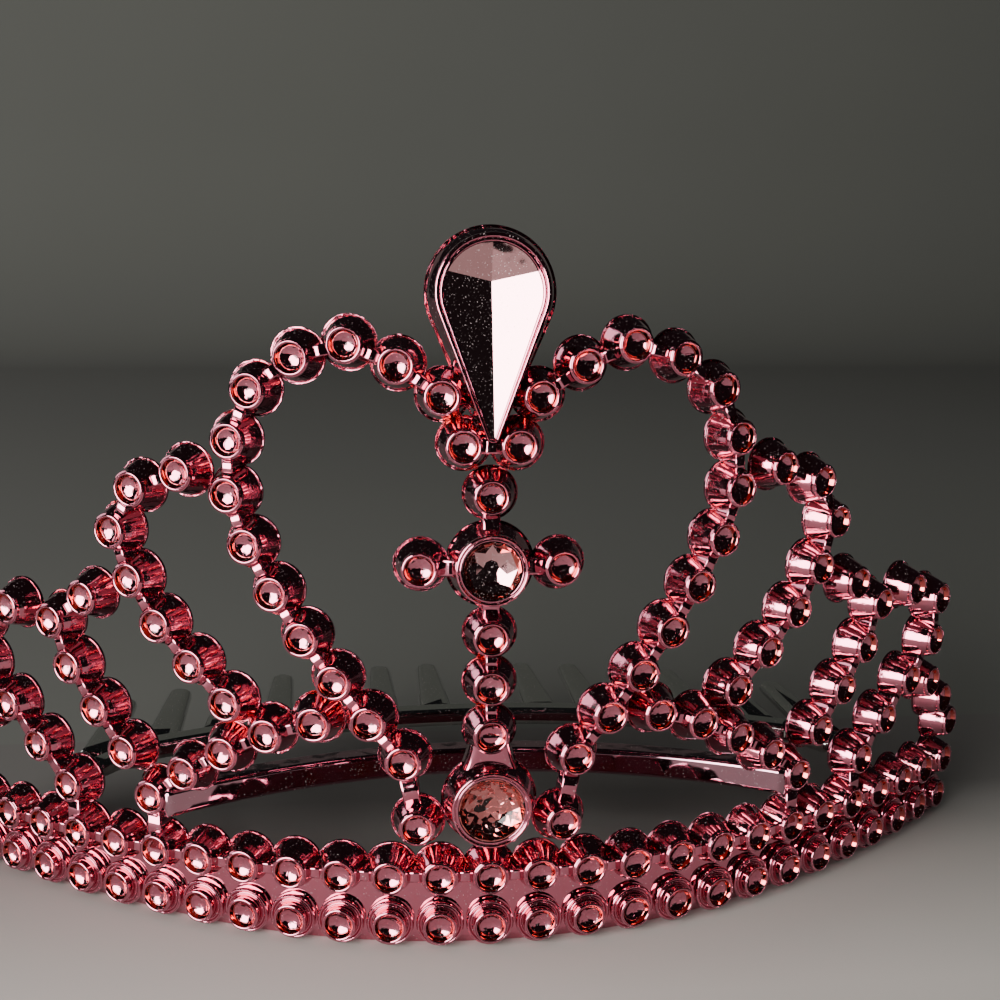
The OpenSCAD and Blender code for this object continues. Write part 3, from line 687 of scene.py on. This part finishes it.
def tooth_shells(layout, rear):
    """The comb's teeth: a tapered outline with a round tip, laid in layers whose inset follows a cosine and
    whose height follows a sine, so that the tooth is crowned on both faces."""
    run, half = rear.tooth_len - rear.tooth_tip_r, rear.tooth_w / 2
    slope = np.arcsin((half - rear.tooth_tip_r) / run)
    tip = np.linspace(slope, np.pi - slope, 17)
    turn = np.linspace(-np.pi / 2, np.pi / 2, 13)
    t = np.linspace(0, 1, 10)[1:-1, None]
    deepest_inset = 0.62 * rear.tooth_tip_r
    rings = []
    for inset, height in zip(deepest_inset * (1 - np.cos(turn)), rear.tooth_t / 2 * np.sin(turn)):
        arc = polar(rear.tooth_tip_r - inset, tip) + [0, run]
        left, right = np.array([[inset - half, 0], [half - inset, 0]])
        flat = np.vstack([right, right * (1 - t) + arc[0] * t, arc, arc[-1] * (1 - t) + left * t, left])
        rings.append(level(flat, height))
    x, y, z = np.moveaxis(np.array(rings), -1, 0)
    cos, sin = np.cos(rear.tooth_drop), np.sin(rear.tooth_drop)
    tooth = tube(np.stack([x, y * cos + z * sin, z * cos - y * sin], -1))
    places = (np.arange(rear.teeth) - (rear.teeth - 1) / 2) * rear.tooth_pitch
    middle = rear.spine_z + rear.spine_t / 2
    return [Shell(tooth.co + [place, spine_back(rear, layout.face, place), middle], tooth.faces,
                  tooth.co + [TOOTH_SPREAD * place, 0, 0]) for place in places]


def link_of(start, end, width, thickness, cut):
    """A straight flat bar between two places on one level, with rounded edges."""
    run = end - start
    side = np.array([-run[1], run[0], 0]) / np.linalg.norm(run)
    section = box(width / 2, -thickness / 2, thickness / 2, cut)
    ring = section[:, :1] * side + section[:, 1:] * UP
    return tube(np.stack([start + ring, end + ring]))


def painted_crease_bounce(shell, layout):
    """How much the creases are painted redder, for the light that bounces between the mirror faces of
    neighbouring studs: it falls off exponentially with the distance from the second nearest stud's cone,
    whose radius grows towards the back."""
    st, strongest_bounce, painted_fade = layout.studs, 0.9, 0.3 * MM
    apart = np.hypot(shell.co[:, None, 0] - layout.every[:, 0], shell.co[:, None, 2] - layout.every[:, 2])
    behind = np.clip((-shell.own[:, 2] - st.cup_h) / (st.depth - st.cup_h), 0, 1)
    gap = np.partition(apart, 1, axis=1)[:, 1] - st.cup_r - (st.barrel_r - st.cup_r) * behind
    return strongest_bounce * np.exp(-np.maximum(gap, 0) / painted_fade)


def add_piece(name, shells, material, slot, *nodes):
    """Joins shells into one mesh object at the origin, with the place on its own form in millimetres and
    the marks of the finish and of the painted bounce light as attributes, which rides on the root body and
    stands for the named nodes."""
    starts = np.cumsum([0] + [len(s.co) for s in shells])
    mesh = bpy.data.meshes.new(name)
    mesh.vertices.add(starts[-1])
    mesh.vertices.foreach_set("co", np.concatenate([s.co for s in shells]).ravel())
    blocks = [(f + start, s.flat) for s, start in zip(shells, starts) for f in s.faces]
    corners = np.concatenate([b.ravel() for b, _ in blocks])
    sizes = np.concatenate([np.full(len(b), b.shape[1]) for b, _ in blocks])
    mesh.loops.add(len(corners))
    mesh.loops.foreach_set("vertex_index", corners)
    mesh.polygons.add(len(sizes))
    mesh.polygons.foreach_set("loop_start", np.concatenate([[0], np.cumsum(sizes)[:-1]]))
    mesh.polygons.foreach_set("use_smooth", np.concatenate([np.full(len(b), not flat) for b, flat in blocks]))
    mesh.update(calc_edges=True)
    if mesh.validate():
        raise RuntimeError(f"the mesh of {name} had faults")
    own, marks = (np.concatenate([getattr(s, kind) for s in shells]) for kind in ("own", "marks"))
    for key, values in (("own_place", own / MM), ("finish_and_painted_bounce_marks", marks)):
        mesh.attributes.new(key, "FLOAT_VECTOR", "POINT").data.foreach_set("vector", values.ravel())
    mesh.materials.append(material)
    piece = bpy.data.objects.new(name, mesh)
    bpy.context.scene.collection.objects.link(piece)
    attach(piece, "root")
    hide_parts(*nodes)


def add_pink_piece(name, shells, layout, node):
    """Adds a piece of the front: metallised polystyrene with the full pink lacquer, painted redder between
    studs for the light that bounces between them."""
    for shell in shells:
        # Painted bounce light: the creases between studs are painted redder
        shell.marks[:, 0] = np.maximum(shell.marks[:, 0], painted_crease_bounce(shell, layout))
    pink = metallised("pink_lacquered_mirror_polystyrene", layout.finish.pink, layout.finish.painted_bounce_red)
    add_piece(name, shells, pink, "pink_metallised", node)


def add_node(tree, kind, links=None, **settings):
    """Adds a shader node with its settings. An input is given as a value, as a socket to link, or as a node
    whose first output is linked."""
    node = tree.nodes.new("ShaderNode" + kind)
    for key, value in settings.items():
        setattr(node, key, value)
    for key, value in (links or {}).items():
        if isinstance(value, bpy.types.Node):
            value = value.outputs[0]
        if isinstance(value, bpy.types.NodeSocket):
            tree.links.new(value, node.inputs[key])
        else:
            node.inputs[key].default_value = value
    return node


def blank_material(name):
    """A new material with nothing in its node tree."""
    material = bpy.data.materials.new(name)
    material.use_nodes = True
    material.node_tree.nodes.clear()
    return material, material.node_tree


def metallised(name, thin, painted_bounce_red, drawn=1.0, crackle=1.0, dust=1.0):
    """Vacuum-metallised polystyrene under tinted lacquer. The mirror gives sharp reflections tinted by the
    lacquer, the gloss over it gives white highlights, the drawn walls are mottled and streaked by the
    mould, the hollows are slightly crackled, and fine dust lies on everything."""
    if name in bpy.data.materials:
        return bpy.data.materials[name]
    material, tree = blank_material(name)
    own = add_node(tree, "Attribute", attribute_name="own_place").outputs["Vector"]
    marks = add_node(tree, "Attribute", attribute_name="finish_and_painted_bounce_marks").outputs["Vector"]
    painted_bounce_share, wall, hollow = add_node(tree, "SeparateXYZ", {"Vector": marks}).outputs
    # Mottling of the drawn walls: blotches about half a millimetre wide
    blotch = add_node(tree, "TexNoise", {"Vector": own, "Scale": 2.1, "Detail": 3.0})
    # Draw marks: about three to each millimetre round a stud, and six millimetres long
    along = add_node(tree, "Mapping", {"Vector": own, "Scale": (1, 1, 0.06)})
    streak = add_node(tree, "TexNoise", {"Vector": along, "Scale": 3.2, "Detail": 2.0})
    # Sink and flow of the moulding: soft dents about two millimetres wide
    dents = add_node(tree, "TexNoise", {"Vector": own, "Scale": 0.5, "Detail": 1.0})
    # Crackle: cells about half a millimetre wide, each tilted its own way
    cells = add_node(tree, "TexVoronoi", {"Vector": own, "Scale": 2.0})
    within = add_node(tree, "VectorMath", {0: own, 1: cells.outputs["Position"]}, operation="SUBTRACT")
    lean = add_node(tree, "VectorMath", {0: cells.outputs["Color"], 1: (0.5, 0.5, 0.5)}, operation="SUBTRACT")
    tilted = add_node(tree, "VectorMath", {0: within, 1: lean}, operation="DOT_PRODUCT").outputs["Value"]
    # Dust: specks about a tenth of a millimetre wide
    specks = add_node(tree, "TexNoise", {"Vector": own, "Scale": 7.0, "Detail": 1.0})
    dusty = add_node(tree, "MapRange", {
        "Value": specks, "From Min": 0.71 - 0.02 * dust, "From Max": 0.79 - 0.02 * dust, "To Max": 0.35})
    # Reliefs in millimetres, of the drawn walls, the dents and the crackled hollows
    wall_relief, dent_relief, crackle_relief = 0.016 * drawn, 0.03, 0.16 * crackle
    both = add_node(tree, "Math", {0: blotch, 1: streak}, operation="ADD")
    uneven = add_node(tree, "Math", {0: both, 1: wall}, operation="MULTIPLY")
    height = add_node(tree, "Math", {0: uneven, 1: wall_relief}, operation="MULTIPLY")
    swell = add_node(tree, "Math", {0: dents, 1: dent_relief, 2: height}, operation="MULTIPLY_ADD")
    broken = add_node(tree, "Math", {0: tilted, 1: hollow}, operation="MULTIPLY")
    whole = add_node(tree, "Math", {0: broken, 1: crackle_relief, 2: swell}, operation="MULTIPLY_ADD")
    relief = add_node(tree, "Bump", {"Height": whole, "Strength": 1.0, "Distance": MM})
    # Painted bounce light: where the first mark is set the colour goes over to the redder one, which stands
    # for light bounced between the mirror faces in creases and hollows
    tint = add_node(tree, "Mix", {0: painted_bounce_share, 6: (*thin, 1), 7: (*painted_bounce_red, 1)}, data_type="RGBA").outputs[2]
    rough = add_node(tree, "Math", {0: wall, 1: 0.04 * drawn, 2: 0.05}, operation="MULTIPLY_ADD")
    surface = add_node(tree, "BsdfPrincipled", {
        "Base Color": tint, "Metallic": 1.0, "Roughness": rough, "Normal": relief, "Coat Weight": 0.7,
        "Coat Roughness": 0.03})
    lint = add_node(tree, "BsdfDiffuse", {"Color": (0.75, 0.6, 0.6, 1)})
    dusted = add_node(tree, "MixShader", {0: dusty, 1: surface, 2: lint})
    add_node(tree, "OutputMaterial", {"Surface": dusted})
    return material


def plain_surface(name, tint, painted_shade_behind=1.0):
    """Matt painted board: an even surface with a faint mottle about ten centimetres wide. Between one
    centimetre in front of the crown's face and three behind, its colour darkens to the share given for
    behind:
    painted shade, for the crown's shadow and the light falling off behind it."""
    material, tree = blank_material(name)
    place = add_node(tree, "TexCoord").outputs["Object"]
    mottle = add_node(tree, "TexNoise", {"Vector": place, "Scale": 10.0, "Detail": 3.0})
    mottled = add_node(tree, "MapRange", {"Value": mottle, "To Min": 0.92, "To Max": 1.0})
    depth = add_node(tree, "SeparateXYZ", {"Vector": place}).outputs["Y"]
    # Painted shade: the board darkens towards the back, standing for the crown's shadow and the light falling
    # off behind it
    painted_fade = add_node(tree, "MapRange", {
        "Value": depth, "From Min": -0.01, "From Max": 0.03, "To Min": 1.0, "To Max": painted_shade_behind})
    shade = add_node(tree, "Math", {0: mottled, 1: painted_fade}, operation="MULTIPLY")
    base = add_node(tree, "Mix", {0: 1.0, 6: (*tint, 1), 7: shade}, data_type="RGBA", blend_type="MULTIPLY")
    surface = add_node(tree, "BsdfPrincipled", {"Base Color": base.outputs[2], "Roughness": 0.9})
    add_node(tree, "OutputMaterial", {"Surface": surface})
    return material


class CROWN_OT_base_band(bpy.types.Operator):
    """Builds the curved band with its two rows of cups"""
    bl_idname = "crown.base_band"
    bl_label = "Base Band"

    def execute(self, context):
        layout = Layout(context.scene)
        face = layout.face
        shells = [band_wall(face), onto(ring_shell(layout.studs, face), layout.lower, face)]
        shells += strand(layout.upper, layout)
        add_pink_piece("band_with_cups", shells, layout, "base_band")
        return {"FINISHED"}


class CROWN_OT_column(bpy.types.Operator):
    """Builds the middle column: the base setting, its skirt, the stacked studs and the cross"""
    bl_idname = "crown.column"
    bl_label = "Centre Column"

    def execute(self, context):
        layout = Layout(context.scene)
        g, face, cross = layout.settings, layout.face, layout.cross
        shells = [onto(setting_shell(layout, g.base_r), layout.base, face), skirt(layout),
                  onto(setting_shell(layout, g.cross_r), cross, face)]
        shells += strand(layout.low_stack, layout)
        shells.append(onto(stud_shell(layout.studs), np.vstack([layout.high_stack, layout.arms]), face))
        ends = np.vstack([layout.low_stack[-1:], layout.high_stack[:1], layout.arms])
        shells += rods(ends, np.repeat(cross, len(ends), axis=0), layout)
        add_pink_piece("column_with_settings", shells, layout, "centre_column")
        return {"FINISHED"}


class CROWN_OT_teardrop(bpy.types.Operator):
    """Builds the teardrop setting with the two studs under its tip"""
    bl_idname = "crown.teardrop"
    bl_label = "Teardrop Setting"

    def execute(self, context):
        layout = Layout(context.scene)
        shells = [teardrop_setting(layout), onto(stud_shell(layout.studs), layout.fork, layout.face)]
        shells += rods(layout.fork[:1], layout.fork[1:], layout)
        add_pink_piece("teardrop_frame", shells, layout, "teardrop_setting")
        return {"FINISHED"}


class CROWN_OT_stones(bpy.types.Operator):
    """Builds the three large stones, each a hollow of flat facets"""
    bl_idname = "crown.stones"
    bl_label = "Stones"

    def execute(self, context):
        layout = Layout(context.scene)
        finish = layout.finish
        smooth = metallised("clear_lacquered_mirror_facets", finish.stone, finish.painted_bounce_red, 0, 0, 2.6)
        crackled = metallised("crackled_lacquered_mirror_facets", finish.stone, finish.painted_bounce_red, 0, 3.5, 1.6)
        cross = round_stone(layout, layout.cross, layout.settings.cross_r)
        base = round_stone(layout, layout.base, layout.settings.base_r)
        # The base stone is given part of the redder colour all over
        base.marks[:, 0] = np.maximum(base.marks[:, 0], 0.55)
        base.marks[:, 2] = 1
        add_piece("teardrop_facets", [teardrop_stone(layout)], smooth, "stone_metallised", "teardrop_stone")
        add_piece("cross_facets", [cross], smooth, "stone_metallised", "cross_stone")
        add_piece("base_facets", [base], crackled, "stone_metallised", "base_stone")
        return {"FINISHED"}


class CROWN_OT_arches(bpy.types.Operator):
    """Builds the arches of both sides, each side the mirror of the other"""
    bl_idname = "crown.arches"
    bl_label = "Arches"

    def execute(self, context):
        layout = Layout(context.scene)
        for name, points in layout.arches.items():
            shells = strand(points, layout)
            if name == "great":
                shells.append(onto(stud_shell(layout.studs), layout.great_end, layout.face))
                shells += rods(points[-1:], layout.great_end, layout)
            if name in ("swag", "fourth"):
                foot, down = points[-1:], layout.studs.cup_r - layout.studs.lip_w
                shells += rods(foot, layout.face.at(foot[:, 0], layout.face.upper_row_z - down), layout)
            node = name if name == "swag" else name + "_arch"
            for side, halves in (("right", shells), ("left", [s.mirrored() for s in shells])):
                add_pink_piece(f"{name}_arch_{side}_dressed", halves, layout, f"{node}_{side}")
        return {"FINISHED"}


class CROWN_OT_rear(bpy.types.Operator):
    """Builds the bowed rear bar and the comb"""
    bl_idname = "crown.rear"
    bl_label = "Rear Bar and Comb"

    def execute(self, context):
        layout = Layout(context.scene)
        rear, finish, face = context.scene.crown_rear, layout.finish, layout.face
        reach = layout.arches["swag"][-1, 0] - layout.studs.barrel_r / 2
        section = box(rear.bar_d / 2, rear.bar_z, rear.bar_z + rear.bar_t, cut=0.4)
        bar = bow(reach, rear.bar_y, rear.bar_radius, section, face)
        thin = metallised("thinly_lacquered_mirror_polystyrene", finish.bar, finish.pink)
        add_piece("rear_bar_rounded", [bar], thin, "rear_metallised", "rear_bar")
        comb_cut = 0.55
        section = box(rear.spine_d / 2, rear.spine_z, rear.spine_z + rear.spine_t, comb_cut)
        shells = [bow(rear.spine_half_w, rear.spine_y, rear.spine_radius, section, face)]
        end_y, middle = spine_back(rear, face, rear.spine_half_w), rear.spine_z + rear.spine_t / 2
        foot = layout.arches["fourth"][-1]
        for side in (-1, 1):
            start = np.array([side * rear.spine_half_w, end_y, middle])
            end = np.array([side * foot[0], foot[1] + layout.studs.depth * 0.6, middle])
            shells.append(link_of(start, end, rear.arm_w, rear.arm_t, comb_cut))
        shells += tooth_shells(layout, rear)
        bare = metallised("bare_mirror_polystyrene", finish.comb, finish.bar)
        add_piece("comb_rounded", shells, bare, "comb_metallised", "comb")
        return {"FINISHED"}


class CROWN_OT_stage(bpy.types.Operator):
    """Adds the pale floor, the dark card, the soft lights and the camera"""
    bl_idname = "crown.stage"
    bl_label = "Stage"

    def execute(self, context):
        finish, crown = context.scene.crown_finish, Vector((0, 0.008, 0.03))
        # The board's colour is painted darker behind the crown's face, as painted shade
        board = plain_surface("matt_pale_board", finish.floor, painted_shade_behind=0.17)
        add_floor(board, plain_surface("matt_dark_card", finish.card))
        add_light("window", (-0.36, -0.35, 0.11), crown, 0.46, 10.0, (1.0, 0.985, 0.97))
        add_light("far_window", (-0.9, 0.35, 0.45), crown, 0.7, 3.0, (1.0, 0.95, 0.97))
        add_light("ceiling_fill", (0.0, -0.4, 1.0), crown, 0.8, 2.0, (1.0, 1.0, 1.0), mirrored=False)
        add_world((0.012, 0.012, 0.013))
        add_camera(context.scene)
        return {"FINISHED"}


def add_surface(name, x, y, z, material):
    """A surface of the stage: a line through the places (y, z), drawn out from one x to the other."""
    co = np.stack([np.tile(x, len(y)), np.repeat(y, 2), np.repeat(z, 2)], -1)
    i = np.arange(len(y) - 1) * 2
    mesh = bpy.data.meshes.new(name)
    mesh.from_pydata(co.tolist(), [], np.stack([i, i + 1, i + 3, i + 2], -1).tolist())
    mesh.polygons.foreach_set("use_smooth", np.ones(len(mesh.polygons), bool))
    mesh.materials.append(material)
    surface = bpy.data.objects.new(name, mesh)
    bpy.context.scene.collection.objects.link(surface)


def add_floor(floor_material, card_material):
    """A pale board under the crown, and behind it a dark card that lies flat, curves up as a quarter
    circle, and ends just above the camera's view."""
    front, back, bend, radius, wall = -0.1, 0.05, 0.45, 0.1, 0.24
    left, board_right, card_right = -0.3, 0.09, 0.42
    turn = np.linspace(0, np.pi / 2, 24)
    add_surface("floor", (left, board_right), np.array([front, back]), np.zeros(2), floor_material)
    y = np.concatenate([[back], bend + radius * np.sin(turn), [bend + radius]])
    z = np.concatenate([[0], radius * (1 - np.cos(turn)), [wall]])
    add_surface("backdrop", (left, card_right), y, z, card_material)


def add_light(name, place, target, size, watts, tint, mirrored=True):
    """A soft round light at a place, turned to the target. One that isn't mirrored lights without showing
    in the metallised surfaces."""
    light = bpy.data.lights.new(name, "AREA")
    light.shape, light.size = "DISK", size
    light.energy = watts
    light.color = tint
    lamp = bpy.data.objects.new(name, light)
    lamp.location = place
    lamp.rotation_euler = (target - Vector(place)).to_track_quat("-Z", "Y").to_euler()
    lamp.visible_glossy = mirrored
    bpy.context.scene.collection.objects.link(lamp)


def add_world(tint):
    """A dim even room round the stage."""
    world = bpy.data.worlds.new("dim_room")
    world.use_nodes = True
    world.node_tree.nodes["Background"].inputs["Color"].default_value = (*tint, 1)
    bpy.context.scene.world = world


def add_camera(scene):
    """The camera at the photo's viewing angle: a normal lens, from the left and a little above."""
    yaw, pitch, roll = 0.117, 0.207, -0.012
    place = np.array([-12.42, -110.78, 63.25]) * MM
    forward = np.array([np.cos(pitch) * np.sin(yaw), np.cos(pitch) * np.cos(yaw), -np.sin(pitch)])
    across = np.array([np.cos(yaw), -np.sin(yaw), 0])
    right = across * np.cos(roll) + np.cross(forward, across) * np.sin(roll)
    lens = bpy.data.cameras.new("photo_view")
    lens.sensor_width, lens.lens = 36.0, 49.4
    camera = bpy.data.objects.new("photo_view", lens)
    matrix = np.eye(4)
    matrix[:3] = np.stack([right, np.cross(right, forward), -forward, place], -1)
    camera.matrix_world = Matrix(matrix.tolist())
    scene.collection.objects.link(camera)
    scene.camera = camera


class CROWN_PT_panel(bpy.types.Panel):
    """Lists the crown's pieces"""
    bl_idname = "CROWN_PT_panel"
    bl_label = "Mini Crown Headband"
    bl_space_type = "VIEW_3D"
    bl_region_type = "UI"
    bl_category = "Crown"

    def draw(self, context):
        for operator in OPERATORS:
            self.layout.operator(operator.bl_idname)
        for group in SIZE_GROUPS:
            settings = getattr(context.scene, group)
            box = self.layout.box()
            for name in settings.bl_rna.properties.keys():
                if name not in ("rna_type", "name"):
                    box.prop(settings, name)


OPERATORS = (CROWN_OT_base_band, CROWN_OT_column, CROWN_OT_teardrop, CROWN_OT_stones, CROWN_OT_arches,
             CROWN_OT_rear, CROWN_OT_stage)
SIZE_GROUPS = {
    "crown_face": CrownFaceSizes,
    "crown_studs": CrownStudSizes,
    "crown_settings": CrownSettingSizes,
    "crown_rear": CrownRearSizes,
    "crown_finish": CrownFinish,
}


def register():
    for cls in (*SIZE_GROUPS.values(), *OPERATORS, CROWN_PT_panel):
        bpy.utils.register_class(cls)
    for name, group in SIZE_GROUPS.items():
        setattr(bpy.types.Scene, name, PointerProperty(type=group))


def unregister():
    for name in SIZE_GROUPS:
        delattr(bpy.types.Scene, name)
    for cls in reversed((*SIZE_GROUPS.values(), *OPERATORS, CROWN_PT_panel)):
        bpy.utils.unregister_class(cls)


def main():
    register()
    for name in ("base_band", "column", "teardrop", "stones", "arches", "rear", "stage"):
        getattr(bpy.ops.crown, name)()


if __name__ == "__main__":
    main()
